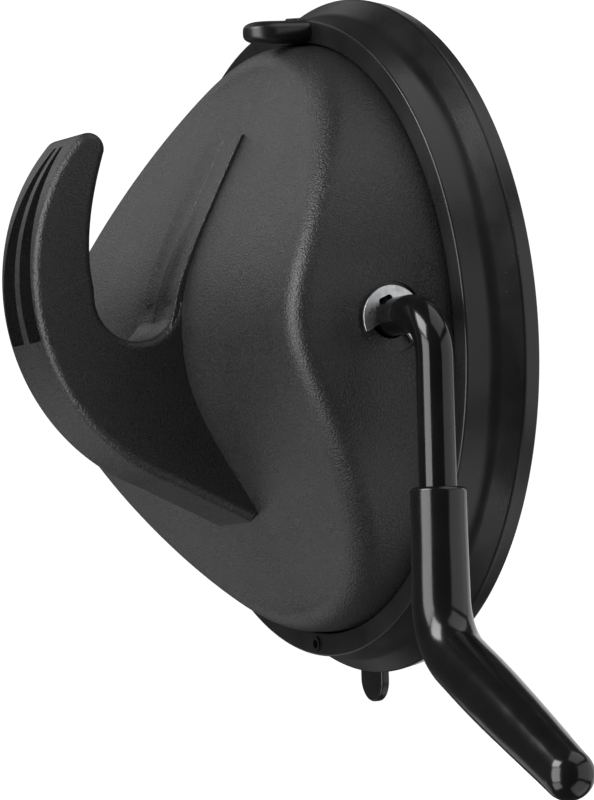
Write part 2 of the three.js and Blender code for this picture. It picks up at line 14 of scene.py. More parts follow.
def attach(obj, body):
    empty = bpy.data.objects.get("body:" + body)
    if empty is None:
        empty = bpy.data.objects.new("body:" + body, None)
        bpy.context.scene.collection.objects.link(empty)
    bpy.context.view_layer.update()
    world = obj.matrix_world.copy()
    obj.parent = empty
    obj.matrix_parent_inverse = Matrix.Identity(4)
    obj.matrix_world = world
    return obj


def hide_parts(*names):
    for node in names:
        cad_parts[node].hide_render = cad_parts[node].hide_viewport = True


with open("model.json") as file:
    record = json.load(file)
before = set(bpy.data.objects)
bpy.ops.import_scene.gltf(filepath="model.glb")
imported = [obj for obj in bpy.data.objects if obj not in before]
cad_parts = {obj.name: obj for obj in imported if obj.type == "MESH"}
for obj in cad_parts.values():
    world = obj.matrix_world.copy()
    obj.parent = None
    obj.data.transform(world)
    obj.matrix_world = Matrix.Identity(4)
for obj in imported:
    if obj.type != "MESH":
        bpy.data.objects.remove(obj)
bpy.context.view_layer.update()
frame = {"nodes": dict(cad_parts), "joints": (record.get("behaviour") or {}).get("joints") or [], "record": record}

MM = 0.001

# ---------------------------------------------------------------- driving sizes, mm

CUP_RADIUS = 60.0
CUP_BACK_RADIUS = 59.4
CUP_RIM = 3.1
CUP_STEP_RADIUS = 56.8
CUP_STEP = 7.2
CUP_WEB = 4.6
CUFF_OUTER = 56.4
CUFF_INNER = 52.3
CUFF_DEPTH = 12.6
CUP_TURN = math.radians(6.3)
FINGER_TIP = 23.4
FINGER_HALF = 4.5
TAB_TIP = 65.5
TAB_HALF = 4.0
TAB_DEPTHS = (0.3, 1.9)
COLLAR_RADIUS = 1.3
COLLAR_HOLE = 0.8
COLLAR_PROUD = 0.4
FINGER_ROOT = 4.0
FINGER_THINNING = 0.55
FINGER_SQUARENESS = (0.6, 0.7)
GATE_HALF = 2.6
GATE_SINK = 0.6
GATE_HEIGHT = 1.0
GATE_ROUNDING = 0.5
GATE_START = CUFF_DEPTH + 0.2
GATE_LENGTH = 1.4
GATE_EDGE = 0.2
TAB_SINK = 2.0
TAB_EDGE = 0.35

WALL = 2.8
BASE_RADIUS = 52.0
BASE_SEAT = CUP_WEB + 0.6
RIDGE_WAIST = 50.2
RIDGE_END = 51.6
RIDGE_FILLET = 4.2
FILLET_SHARE = 0.75
TENT_APEX = 42.6
TENT_SLOPE = 0.645
TENT_ROUNDING = 7.0
TENT_FLOOR = 17.6
TENT_FLOOR_BLEND = 4.0
ROOF_CROWN = 1.3
SADDLE_DROP = 1.5
SADDLE_HEIGHT = 10.0
SADDLE_RADIUS = 45.0
# Sectors, then steps along the roof, the fillet and the wall, for the outside and for the hollow.
OUTSIDE_MESH = (256, 56, 16, 24)
HOLLOW_MESH = (96, 12, 8, 8)

HOOK_WIDTH = 15.2
HOOK_EDGE = 1.6
HOOK_CENTRE = (31.4, 10.3)
HOOK_RADIUS = 37.0
HOOK_TIP_ANGLE = math.radians(45.0)
HOOK_TIP_RADIUS = 2.75
HOOK_TIP_BACK = math.pi + 0.25
HOOK_WAIST = (58.4, 20.0)
THROAT = (49.2, 8.5)
THROAT_RADIUS = 7.7
THROAT_END = -3.05
FOOT = (30.1, -31.8)
FOOT_ANGLE = math.radians(-67.5)
HOOK_ROOT = ((34.0, 0.0), (24.0, -26.0))

SLOT_TOP = 35.5
SLOT_BOTTOM = 1.6
SLOT_DEPTH = 2.6
SLOT_INNER = (0.7, 0.9, 1.1)
SLOT_OUTER = (1.8, 5.9, 6.0)

SPINE_HALF = 7.3
SPINE_BOTTOM = 2.5
SPINE_TOP = 36.0
SPINE_PROUD = 0.8
SPINE_EMBED = 2.0
SPINE_SIDE_RADIUS = 0.35
FLUTE_DEPTH = 0.5
FLUTE_MERGE = (12.0, 22.0)
FLUTE_LOSS = 0.35
FLUTE_FADE = (3.0, 5.0)
DIP_DEPTH = 0.3
DIP_PLACE = 6.0
DIP_REACH = 2.6
PARTING_HALF = 0.14
PARTING_DEPTH = 0.12

ROD_RADIUS = 3.2
ARM_X = 64.1
ROD_BEND = 8.0
LEVER_SWING = math.radians(3.6)
ROD_FAR_END = 53.5
ROD_TAIL = 42.0
ROD_CHAMFER = 0.5
ROD_SIDES = 48
GRIP_START = 29.4
GRIP_TAIL = 49.5
GRIP_BORE = 3.26
GRIP_LIP = 0.9
GRIP_BORE_LIP = 0.35
GRIP_OVERRUN = 1.0
GRIP_BLUNTNESS = 0.9
GRIP_SIDES = 56
GRIP_SPACING = 0.8
GRIP_SMOOTHING = 8
KNEE_DROP = 54.9
KNEE_ANGLE = math.radians(61.0)
KNEE_BEND = 12.0
# The grip's outside diameter against the distance along it from its open end.
GRIP_PROFILE = ((0.0, 9.5), (8.0, 9.4), (25.0, 10.0), (42.0, 10.4), (58.0, 9.4), (72.0, 8.2))

CLIP_X = 49.5
CLIP_THICKNESS = 0.7
CLIP_OUTER = 5.65
CLIP_GROOVE = 2.5
CLIP_BORE = 2.8
CLIP_MOUTH = math.radians(52.0)
CLIP_TILT = math.radians(11.0)
CLIP_EDGE = 0.12
CLIP_CORNER = 0.28
GROOVE_CLEARANCE = 0.2
RELIEF_ANGLE = math.radians(35.0)
RELIEF_RADIUS = 3.4
RELIEF_HALF = 0.75
RELIEF_WIDTH = 1.2
RELIEF_FLARE = 0.05
RELIEF_FOOT = 0.5
CLIP_SAG = 0.25

CLIP_SEAT_X = 49.1
CLIP_SEAT_RADIUS = 6.2
DIMPLE_DEPTH = 2.4
DIMPLE_REACH = 8.0
DIMPLE_FADE = 5.0
BORE_RADIUS = 3.6
BUSH_SEAT_RADIUS = 5.3
BUSH_START = 34.0
BUSH_SEAT_END = 46.3
BOSS_RADIUS = 7.5
BOSS_END = 48.8
POST_PLACE = (25.0, 18.0)
POST_RADIUS = 3.7
POST_BORE = 1.8
POST_NEAR = 19.1
POST_FAR = 30.0
POST_BORE_FAR = 27.0

# The lever's axis comes from the frame's own joint.
AXIS_DEPTH = next(-joint["pos_m"][1] / MM for joint in frame["joints"] if joint["type"] == "hinge")

# ---------------------------------------------------------------- mesh tools


def add_object(name, points, faces):
    """A mesh object from (x, depth, z) points in millimetres, welded, with its faces pointing out."""
    scaled = np.asarray(points, float) * (MM, -MM, MM)
    mesh = bpy.data.meshes.new(name)
    mesh.from_pydata(scaled.tolist(), [], faces)
    tool = bmesh.new()
    tool.from_mesh(mesh)
    bmesh.ops.remove_doubles(tool, verts=tool.verts, dist=1e-7)
    bmesh.ops.recalc_face_normals(tool, faces=tool.faces)
    tool.to_mesh(mesh)
    tool.free()
    obj = bpy.data.objects.new(name, mesh)
    bpy.context.scene.collection.objects.link(obj)
    return obj


def skin(name, rings, loop=False):
    """A closed body through rings of equal length, capped at both ends or closing on itself."""
    count = len(rings[0])
    total = len(rings)
    faces = []
    for i in range(total if loop else total - 1):
        for j in range(count):
            a, b = i * count, ((i + 1) % total) * count
            k = (j + 1) % count
            faces.append((a + j, a + k, b + k, b + j))
    if not loop:
        faces.append(tuple(reversed(range(count))))
        faces.append(tuple(range((total - 1) * count, total * count)))
    return add_object(name, [p for ring in rings for p in ring], faces)


def lathe(name, profile, sides):
    """A body turned about the Y axis from a closed outline of (radius, depth)."""
    rings = []
    for angle in np.linspace(0, 2 * math.pi, sides, endpoint=False):
        rings.append([(r * math.cos(angle), depth, r * math.sin(angle)) for r, depth in profile])
    return skin(name, rings, loop=True)


def circle(radius, sides):
    """Points round a circle, as (u, v) from its centre."""
    turns = np.linspace(0, 2 * math.pi, sides, endpoint=False)
    return [(radius * math.cos(a), radius * math.sin(a)) for a in turns]


def bar_x(name, radius, low, high, sides=64, depth=None):
    """A cylinder along X, on the lever's axis unless a depth is given."""
    centre = AXIS_DEPTH if depth is None else depth
    rings = [[(x, centre + u, v) for u, v in circle(radius, sides)] for x in (low, high)]
    return skin(name, rings)


def bar_y(name, radius, near, far, x, z, sides=32):
    """A cylinder square to the wall."""
    rings = [[(x + u, depth, z + v) for u, v in circle(radius, sides)] for depth in (near, far)]
    return skin(name, rings)


def combine(target, operation, *others):
    """Joins or cuts the target with other bodies, which are used up."""
    for other in others:
        modifier = target.modifiers.new("combine", "BOOLEAN")
        modifier.operation = operation
        modifier.solver = "MANIFOLD"
        modifier.object = other
        view = bpy.context.evaluated_depsgraph_get()
        result = bpy.data.meshes.new_from_object(target.evaluated_get(view))
        target.modifiers.clear()
        target.data = result
        bpy.data.objects.remove(other)


def arc(centre, radius, start, end, count):
    """Points along an arc, with both ends."""
    angles = np.linspace(start, end, count)
    return [(centre[0] + radius * math.cos(a), centre[1] + radius * math.sin(a)) for a in angles]


def quadratic(start, control, end, count):
    """Points of a quadratic curve, without its first."""
    start, control, end = (np.array(p, float) for p in (start, control, end))
    steps = np.linspace(0, 1, count + 1)[1:]
    return [tuple((1 - t) ** 2 * start + 2 * t * (1 - t) * control + t * t * end) for t in steps]


def soften(corners, steps=5):
    """A closed outline of (u, v, reach) corners, each rounded over its reach."""
    outline = []
    for i, (u, v, reach) in enumerate(corners):
        here = np.array([u, v], float)
        if reach == 0:
            outline.append((u, v))
            continue
        back = np.array(corners[i - 1][:2], float) - here
        ahead = np.array(corners[(i + 1) % len(corners)][:2], float) - here
        start = here + back * reach / np.linalg.norm(back)
        end = here + ahead * reach / np.linalg.norm(ahead)
        outline += [tuple(start)] + quadratic(start, here, end, steps)
    return outline


def inset(outline, distance):
    """A closed outline moved inwards by a distance, with mitred corners."""
    points = np.array(outline, float)
    back = points - np.roll(points, 1, axis=0)
    ahead = np.roll(points, -1, axis=0) - points
    back /= np.linalg.norm(back, axis=1)[:, None]
    ahead /= np.linalg.norm(ahead, axis=1)[:, None]
    u, v = points[:, 0], points[:, 1]
    area = np.sum(u * np.roll(v, -1) - np.roll(u, -1) * v)
    normal = np.stack([-(back + ahead)[:, 1], (back + ahead)[:, 0]], axis=1) * math.copysign(1, area)
    normal /= np.linalg.norm(normal, axis=1)[:, None]
    edge_normal = np.stack([-ahead[:, 1], ahead[:, 0]], axis=1) * math.copysign(1, area)
    stretch = np.clip(np.sum(normal * edge_normal, axis=1), 0.4, 1)
    return points + normal * (distance / stretch)[:, None]


def turned(outline, angle):
    """An outline turned about its origin."""
    c, s = math.cos(angle), math.sin(angle)
    return [(c * u - s * v, s * u + c * v) for u, v in outline]


def flat(x, z, depth):
    """Places a slab's outline in planes parallel to the wall."""
    return x, depth, z


def in_profile(depth, z, x):
    """Places a slab's outline in planes square to the lever's axis."""
    return x, depth, z


def slab(name, outline, low, high, edge, place, steps=6):
    """An outline given thickness, with round edges. place turns (u, v, w) into (x, depth, z)."""
    turns = np.linspace(0, math.pi / 2, steps + 1)
    levels = [(low + edge * (1 - math.sin(t)), edge * (1 - math.cos(t))) for t in reversed(turns)]
    levels += [(high - edge * (1 - math.sin(t)), edge * (1 - math.cos(t))) for t in turns]
    rings = []
    for height, shrink in levels:
        rings.append([place(u, v, height) for u, v in inset(outline, shrink)])
    return skin(name, rings)


# ---------------------------------------------------------------- housing


def tent_depth(x, z):
    """Depth of the roof's front face without its saddle: a crowned tent with level feet."""
    slope = math.hypot(TENT_SLOPE * z, TENT_ROUNDING) - TENT_ROUNDING
    tent = TENT_APEX - slope
    depth = (tent + TENT_FLOOR + math.hypot(tent - TENT_FLOOR, TENT_FLOOR_BLEND)) / 2
    return depth - ROOF_CROWN * (x / RIDGE_WAIST) ** 2


def roof_depth(x, z):
    """Depth of the roof's front face, with the shallow saddle in its crest."""
    radial = max(0.0, 1 - (x * x + z * z) / SADDLE_RADIUS**2)
    return tent_depth(x, z) - SADDLE_DROP * radial**2 * math.exp(-((z / SADDLE_HEIGHT) ** 2))


def housing_section(angle, shrink, seat, roof_steps, fillet_steps, wall_steps):
    """(radius, depth) points from the middle of the roof out and down to the middle of the base."""
    across, up = math.cos(angle), math.sin(angle)
    ridge = RIDGE_WAIST + (RIDGE_END - RIDGE_WAIST) * up**2 - shrink
    base = BASE_RADIUS - shrink
    corner = np.array([ridge, roof_depth(ridge * across, ridge * up) - shrink])
    foot = np.array([base, CUFF_DEPTH - shrink])
    fall = foot - corner
    start = ridge - RIDGE_FILLET
    end = corner + fall * min(RIDGE_FILLET / np.linalg.norm(fall), FILLET_SHARE)
    points = []
    for radius in np.linspace(0, start, roof_steps):
        points.append((radius, roof_depth(radius * across, radius * up) - shrink))
    side = quadratic(points[-1], corner, end, fillet_steps)
    side += [tuple(end + (foot - end) * t) for t in np.linspace(0, 1, wall_steps + 1)[1:]]
    points += [(radius - dimple(depth, radius * up), depth) for radius, depth in side]
    points += [(base, seat), (0, seat)]
    return points


def dimple(depth, z):
    """How far the side wall is drawn in round the lever's axis, fading out towards the wall's foot."""
    away = math.hypot(depth - AXIS_DEPTH, z) / DIMPLE_REACH
    fade = min(max((depth - CUFF_DEPTH) / DIMPLE_FADE, 0.0), 1.0)
    return DIMPLE_DEPTH * fade * math.exp(-(away**2) / 2)


def housing_loft(name, shrink, seat, sectors, *steps):
    """The housing's bare shape, closed at its base, as one ring of points for each sector."""
    rings = []
    for angle in np.linspace(0, 2 * math.pi, sectors, endpoint=False):
        section = housing_section(angle, shrink, seat, *steps)
        rings.append([(r * math.cos(angle), depth, r * math.sin(angle)) for r, depth in section])
    return skin(name, rings, loop=True)


def hook_outline():
    """The hook's side in (depth, z), from its foot round the outside, over the tip and into the throat."""
    reach = HOOK_RADIUS - HOOK_TIP_RADIUS
    tip = (
        HOOK_CENTRE[0] + reach * math.cos(HOOK_TIP_ANGLE),
        HOOK_CENTRE[1] + reach * math.sin(HOOK_TIP_ANGLE),
    )
    outline = arc(HOOK_CENTRE, HOOK_RADIUS, FOOT_ANGLE, HOOK_TIP_ANGLE, 140)
    outline += arc(tip, HOOK_TIP_RADIUS, HOOK_TIP_ANGLE, HOOK_TIP_BACK, 24)[1:]
    outline += quadratic(outline[-1], HOOK_WAIST, (THROAT[0] + THROAT_RADIUS, THROAT[1] + 2), 40)
    outline += arc(THROAT, THROAT_RADIUS, 0, THROAT_END, 50)
    return outline + list(HOOK_ROOT) + [FOOT]


def hook_body():
    """The hook with its rounded side edges, before its grooves are cut."""
    half = HOOK_WIDTH / 2
    return slab("hook", hook_outline(), -half, half, HOOK_EDGE, in_profile, 8)


def slot_cutter(side):
    """A groove along the hook's outer face that widens downwards."""
    rings = []
    low = math.asin((SLOT_BOTTOM - HOOK_CENTRE[1]) / HOOK_RADIUS)
    high = math.asin((SLOT_TOP - HOOK_CENTRE[1]) / HOOK_RADIUS)
    for angle in np.linspace(low, high, 60):
        down = (high - angle) / (high - low)
        weights = ((1 - down) ** 2, 2 * down * (1 - down), down**2)
        inner = side * sum(w * x for w, x in zip(weights, SLOT_INNER))
        outer = side * sum(w * x for w, x in zip(weights, SLOT_OUTER))
        near = arc(HOOK_CENTRE, HOOK_RADIUS - SLOT_DEPTH, angle, angle, 1)[0]
        far = arc(HOOK_CENTRE, HOOK_RADIUS + 2, angle, angle, 1)[0]
        rings.append([(inner, *near), (outer, *near), (outer, *far), (inner, *far)])
    return skin("slot", rings)


def spine_height(x, z):
    """How far the spine stands proud of the roof, with two flutes that merge towards its top."""
    across = abs(x) / SPINE_HALF
    rise = min(max((z - FLUTE_MERGE[0]) / FLUTE_MERGE[1], 0), 1)
    rise = rise * rise * (3 - 2 * rise)
    double = math.sin(math.pi * across) ** 2
    single = max(0.0, 1 - across**2) ** 2
    fade = min(max((z - FLUTE_FADE[0]) / FLUTE_FADE[1], 0), 1)
    flute = FLUTE_DEPTH * (1 - FLUTE_LOSS * rise) * fade * ((1 - rise) * double + rise * single)
    dip = DIP_DEPTH * math.exp(-(((z - DIP_PLACE) / DIP_REACH) ** 2))
    groove = PARTING_DEPTH * max(0.0, 1 - abs(x) / PARTING_HALF)
    return SPINE_PROUD - flute - dip - groove


def spine_body():
    """The raised pad that runs from the hook's throat up the roof."""
    inner = SPINE_HALF - SPINE_SIDE_RADIUS
    xs = sorted(set(np.round(np.linspace(-inner, inner, 49), 4)) | {-PARTING_HALF, 0.0, PARTING_HALF})
    rings = []
    for z in np.linspace(SPINE_BOTTOM, SPINE_TOP, 130):
        floor = roof_depth(0, z) - SPINE_EMBED
        top = [(x, tent_depth(x, z) + spine_height(x, z), z) for x in xs]
        edge = tent_depth(SPINE_HALF, z) + spine_height(SPINE_HALF, z) - SPINE_SIDE_RADIUS
        side = arc((inner, edge), SPINE_SIDE_RADIUS, 0, math.pi / 2, 5)[:-1]
        left = [(-x, depth, z) for x, depth in side]
        right = [(x, depth, z) for x, depth in reversed(side)]
        rings.append([(-SPINE_HALF, floor, z)] + left + top + right + [(SPINE_HALF, floor, z)])
    return skin("spine", rings)


def ends(side, near, far):
    """A span of X on one side, lowest first."""
    return sorted((side * near, side * far))


def housing():
    """The moulded housing: roof, hook and spine in one, hollow behind, bored for the lever."""
    body = housing_loft("housing_shell", 0, BASE_SEAT, *OUTSIDE_MESH)
    combine(body, "UNION", hook_body(), spine_body())
    combine(body, "DIFFERENCE", housing_loft("hollow", WALL, 0, *HOLLOW_MESH))
    for side in (-1, 1):
        for end in (-1, 1):
            x, z = side * POST_PLACE[0], end * POST_PLACE[1]
            combine(body, "UNION", bar_y("post", POST_RADIUS, POST_NEAR, POST_FAR, x, z))
            combine(body, "DIFFERENCE", bar_y("thread", POST_BORE, POST_NEAR - 1, POST_BORE_FAR, x, z))
        combine(body, "UNION", bar_x("boss", BOSS_RADIUS, *ends(side, BUSH_START, BOSS_END)))
        combine(
            body,
            "DIFFERENCE",
            bar_x("bush_seat", BUSH_SEAT_RADIUS, *ends(side, BUSH_START - 1, BUSH_SEAT_END)),
            bar_x("bore", BORE_RADIUS, *ends(side, BUSH_START, CUP_RADIUS)),
            bar_x("clip_seat", CLIP_SEAT_RADIUS, *ends(side, CLIP_SEAT_X, CUP_RADIUS)),
            slot_cutter(side),
        )
    return body


# ---------------------------------------------------------------- cup


def finger_body():
    """The tongue that stands forward from the top of the cuff, rounded all over."""
    middle = (CUFF_OUTER + CUFF_INNER) / 2
    thick = (CUFF_OUTER - CUFF_INNER) / 2
    rings = []
    straight = np.linspace(CUFF_DEPTH - FINGER_ROOT, FINGER_TIP - FINGER_HALF, 10)
    nose = FINGER_TIP - FINGER_HALF * (1 - np.sin(np.linspace(0, 1.5, 14)[1:]))
    depths = np.concatenate([straight, nose])
    for depth in depths:
        past = max(0.0, (depth - FINGER_TIP + FINGER_HALF) / FINGER_HALF)
        half = FINGER_HALF * math.sqrt(1 - past**2)
        rise = thick * (1 - FINGER_THINNING * past**3)
        ring = []
        for turn in np.linspace(0, 2 * math.pi, 40, endpoint=False):
            c, s = math.cos(turn), math.sin(turn)
            u = math.copysign(abs(c) ** FINGER_SQUARENESS[0], c)
            v = math.copysign(abs(s) ** FINGER_SQUARENESS[1], s)
            ring.append((half * u, depth, middle + rise * v))
        rings.append(ring)
    return skin("finger", rings)


def gate_rib():
    """The small moulding rib across the root of the tongue."""
    low = CUFF_OUTER - GATE_SINK
    high = low + GATE_HEIGHT
    corners = [(-GATE_HALF, low, 0), (GATE_HALF, low, 0)]
    corners += [(GATE_HALF, high, GATE_ROUNDING), (-GATE_HALF, high, GATE_ROUNDING)]
    return slab("gate_rib", soften(corners), GATE_START, GATE_START + GATE_LENGTH, GATE_EDGE, flat, 3)


def tab_body():
    """The release tab under the flange."""
    root = TAB_SINK - CUP_BACK_RADIUS
    outline = [(-TAB_HALF, root), (TAB_HALF, root)]
    outline += arc((0, TAB_HALF - TAB_TIP), TAB_HALF, 0, -math.pi, 32)
    return slab("tab", outline, *TAB_DEPTHS, TAB_EDGE, flat, 4)


def suction_cup():
    """The rubber disc with its cuff, tongue, tab and collar, turned a little in the housing."""
    # Radius, depth and rounding of each corner.
    corners = [
        (0, 0, 0),
        (CUP_BACK_RADIUS, 0, 0.4),
        (CUP_RADIUS, CUP_RIM, 0.45),
        (CUP_STEP_RADIUS, CUP_STEP, 1.4),
        (CUFF_OUTER, CUFF_DEPTH, 0.45),
        (CUFF_INNER, CUFF_DEPTH, 0.35),
        (CUFF_INNER, CUP_WEB, 0.5),
        (0, CUP_WEB, 0),
    ]
    body = lathe("suction_cup_rubber", soften(corners), 288)
    middle = -(CUFF_OUTER + CUFF_INNER) / 2
    collar = bar_y("collar", COLLAR_RADIUS, CUFF_DEPTH - 2, CUFF_DEPTH + COLLAR_PROUD, 0, middle)
    hole = bar_y("hole", COLLAR_HOLE, CUFF_DEPTH - 2, CUFF_DEPTH + 1, 0, middle)
    combine(body, "UNION", finger_body(), gate_rib(), tab_body(), collar)
    combine(body, "DIFFERENCE", hole)
    body.data.transform(Matrix.Rotation(CUP_TURN, 4, "Y"))
    return body


# ---------------------------------------------------------------- lever


def bent_path(corners, bends, spacing=1.0):
    """(x, z) points along straight runs joined by arcs, about the spacing apart."""
    corners = [np.array(c, float) for c in corners]
    path = [corners[0]]
    for i in range(1, len(corners) - 1):
        back = corners[i - 1] - corners[i]
        ahead = corners[i + 1] - corners[i]
        back /= np.linalg.norm(back)
        ahead /= np.linalg.norm(ahead)
        half = math.acos(np.dot(back, ahead)) / 2
        reach = bends[i - 1] / math.tan(half)
        centre = corners[i] + (back + ahead) / np.linalg.norm(back + ahead) * bends[i - 1] / math.sin(half)
        start, end = corners[i] + back * reach, corners[i] + ahead * reach
        path += run(path[-1], start, spacing)
        sweep = math.pi - 2 * half
        first = start - centre
        sign = math.copysign(1, first[0] * (end - centre)[1] - first[1] * (end - centre)[0])
        for turn in np.linspace(0, sign * sweep, 25)[1:]:
            c, s = math.cos(turn), math.sin(turn)
            path.append(centre + np.array([c * first[0] - s * first[1], s * first[0] + c * first[1]]))
    return path + run(path[-1], corners[-1], spacing)


def run(start, end, spacing):
    """Points from a start, which is left out, to an end."""
    count = max(1, round(np.linalg.norm(end - start) / spacing))
    return [start + (end - start) * t for t in np.linspace(0, 1, count + 1)[1:]]


def along(path):
    """The distance of each point of a path from its start, and the direction of the path there."""
    points = np.array(path)
    steps = np.linalg.norm(np.diff(points, axis=0), axis=1)
    distance = np.concatenate([[0], np.cumsum(steps)])
    direction = np.gradient(points, distance, axis=0)
    return distance, direction / np.linalg.norm(direction, axis=1)[:, None]


def hoop(centre, direction, radius, sides):
    """A ring of points square to a direction in the XZ plane, before the lever is swung and placed."""
    side = np.array([-direction[1], direction[0]])
    return [(centre[0] + u * side[0], v, centre[1] + u * side[1]) for u, v in circle(radius, sides)]


def place_lever(obj):
    """Moves a piece made about its own axis to the lever's place, swung a little forward."""
    swing = Matrix.Rotation(-LEVER_SWING, 4, "X")
    obj.data.transform(Matrix.Translation((0, -AXIS_DEPTH * MM, 0)) @ swing)
    return obj


def knee():
    """Where the arm's axis and the tail's axis meet, as (x, z)."""
    return np.array([ARM_X, -KNEE_DROP])


def on_tail(length):
    """A point of the tail's axis, a length past the knee."""
    return knee() + length * np.array([math.sin(KNEE_ANGLE), -math.cos(KNEE_ANGLE)])


def lever_rod():
    """The bent rod: shaft, arm and tail, with a groove for each clip."""
    path = bent_path([(-ROD_FAR_END, 0), (ARM_X, 0), knee(), on_tail(ROD_TAIL)], [ROD_BEND, KNEE_BEND])
    _, direction = along(path)
    rings = [hoop(path[0], direction[0], ROD_RADIUS - ROD_CHAMFER, ROD_SIDES)]
    path[0] = path[0] + direction[0] * ROD_CHAMFER
    rings += [hoop(p, d, ROD_RADIUS, ROD_SIDES) for p, d in zip(path[:-1], direction)]
    rings.append(hoop(path[-1] - direction[-1] * ROD_CHAMFER, direction[-1], ROD_RADIUS, ROD_SIDES))
    rings.append(hoop(path[-1], direction[-1], ROD_RADIUS - ROD_CHAMFER, ROD_SIDES))
    rod = skin("lever_rod_bent", rings)
    for side in (-1, 1):
        low, high = ends(side, CLIP_X - GROOVE_CLEARANCE, CLIP_X + CLIP_THICKNESS + GROOVE_CLEARANCE)
        ring = bar_x("groove_ring", ROD_RADIUS + 1, low, high, depth=0)
        combine(ring, "DIFFERENCE", bar_x("groove_core", CLIP_GROOVE, low - 1, high + 1, depth=0))
        combine(rod, "DIFFERENCE", ring)
    return place_lever(rod)


def lever_grip():
    """A dipped sleeve: up its bore, over the soft lip, down the outside and round the blunt nose."""
    nose = GRIP_PROFILE[-1][1] / 2
    path = bent_path([(ARM_X, -GRIP_START), knee(), on_tail(GRIP_TAIL - nose)], [KNEE_BEND], GRIP_SPACING)
    distance, direction = along(path)
    places, diameters = zip(*GRIP_PROFILE)
    radius = np.interp(distance, places, diameters) / 2
    window = 2 * GRIP_SMOOTHING + 1
    radius = np.convolve(np.pad(radius, GRIP_SMOOTHING, "edge"), np.ones(window) / window, "valid")
    bore_end = int(np.searchsorted(distance, distance[-1] - (GRIP_TAIL - nose - ROD_TAIL - GRIP_OVERRUN)))
    bore_start = int(np.searchsorted(distance, GRIP_LIP))
    rings = [hoop(path[i], direction[i], GRIP_BORE, GRIP_SIDES) for i in range(bore_end, bore_start, -1)]
    for turn in np.linspace(0, math.pi / 2, 5):
        back = path[0] + direction[0] * GRIP_BORE_LIP * (1 - math.sin(turn))
        rings.append(hoop(back, direction[0], GRIP_BORE + GRIP_BORE_LIP * (1 - math.cos(turn)), GRIP_SIDES))
    for turn in np.linspace(0, math.pi / 2, 9):
        back = path[0] + direction[0] * GRIP_LIP * (1 - math.cos(turn))
        rings.append(hoop(back, direction[0], radius[0] - GRIP_LIP * (1 - math.sin(turn)), GRIP_SIDES))
    rings += [hoop(path[i], direction[i], radius[i], GRIP_SIDES) for i in range(bore_start + 1, len(path))]
    for turn in np.linspace(0, math.pi / 2, 16)[1:-1]:
        ahead = path[-1] + direction[-1] * nose * math.sin(turn)
        rings.append(hoop(ahead, direction[-1], radius[-1] * math.cos(turn) ** GRIP_BLUNTNESS, GRIP_SIDES))
    return place_lever(skin("lever_grip_vinyl", rings))


def facing(y, z, x):
    """Places a slab's outline square to the lever's axis, as seen from +X."""
    return x, -y, z


def retaining_clip(side):
    """A split ring with two round-ended reliefs in its bore, its mouth along the lever's arm."""
    start = -math.pi / 2 + CLIP_MOUTH
    end = 1.5 * math.pi - CLIP_MOUTH
    ring = arc((0, 0), CLIP_OUTER, start + CLIP_CORNER / CLIP_OUTER, end - CLIP_CORNER / CLIP_OUTER, 72)
    ring += arc((0, 0), CLIP_BORE, end - CLIP_CORNER / CLIP_BORE, start + CLIP_CORNER / CLIP_BORE, 48)
    low, high = ends(side, CLIP_X, CLIP_X + CLIP_THICKNESS)
    clip = slab("clip", turned(ring, -CLIP_TILT), low, high, CLIP_EDGE, facing, 3)
    clip.name = "retaining_clip_right_ring" if side > 0 else "retaining_clip_left_ring"
    for hand in (-1, 1):
        pocket = [(-RELIEF_HALF - RELIEF_FLARE, RELIEF_FOOT)]
        pocket += arc((-RELIEF_HALF, RELIEF_RADIUS), RELIEF_WIDTH / 2, math.pi, math.pi / 2, 8)
        pocket += arc((RELIEF_HALF, RELIEF_RADIUS), RELIEF_WIDTH / 2, math.pi / 2, 0, 8)
        pocket += [(RELIEF_HALF + RELIEF_FLARE, RELIEF_FOOT)]
        outline = turned(pocket, -CLIP_TILT - hand * RELIEF_ANGLE)
        combine(clip, "DIFFERENCE", slab("relief", outline, low - 1, high + 1, 0, facing, 1))
    clip.data.transform(Matrix.Translation((0, 0, -CLIP_SAG * MM)))
    return place_lever(clip)


# ---------------------------------------------------------------- materials


